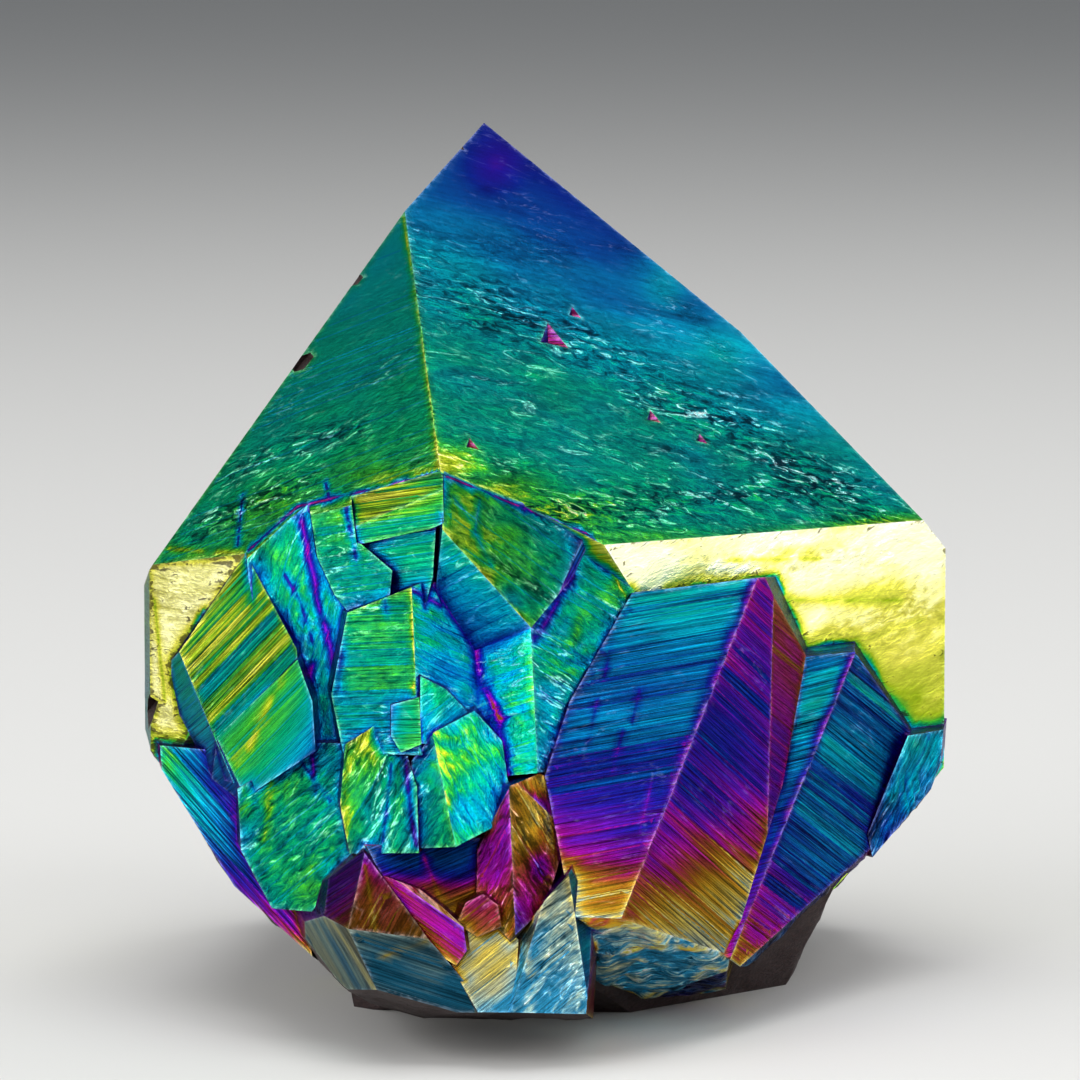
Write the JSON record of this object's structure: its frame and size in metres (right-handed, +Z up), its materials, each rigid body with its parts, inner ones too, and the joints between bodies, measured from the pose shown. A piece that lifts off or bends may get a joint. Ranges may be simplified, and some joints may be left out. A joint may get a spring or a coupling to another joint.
{
  "type": "aura amethyst point",
  "caption": "Large quartz point with a sharp cap and a fan of smaller crystals on its foot, in a rainbow metal film; it stands on the flat where it broke from its bed.",
  "frame": {"origin": "middle of the bounding box, on the ground the point stands on", "axes": "+Z up through the tip, -Y the front with the crystal cluster, +X to the right; the piece is longest along Y and narrowest along X"},
  "size_m": [0.075, 0.087, 0.0792],
  "materials": {
    "film": "thin rainbow metal film over glossy, finely lined crystal faces; bare brown quartz underneath"
  },
  "bodies": {
    "root": {"amethyst_point": "film"}
  },
  "joints": []
}
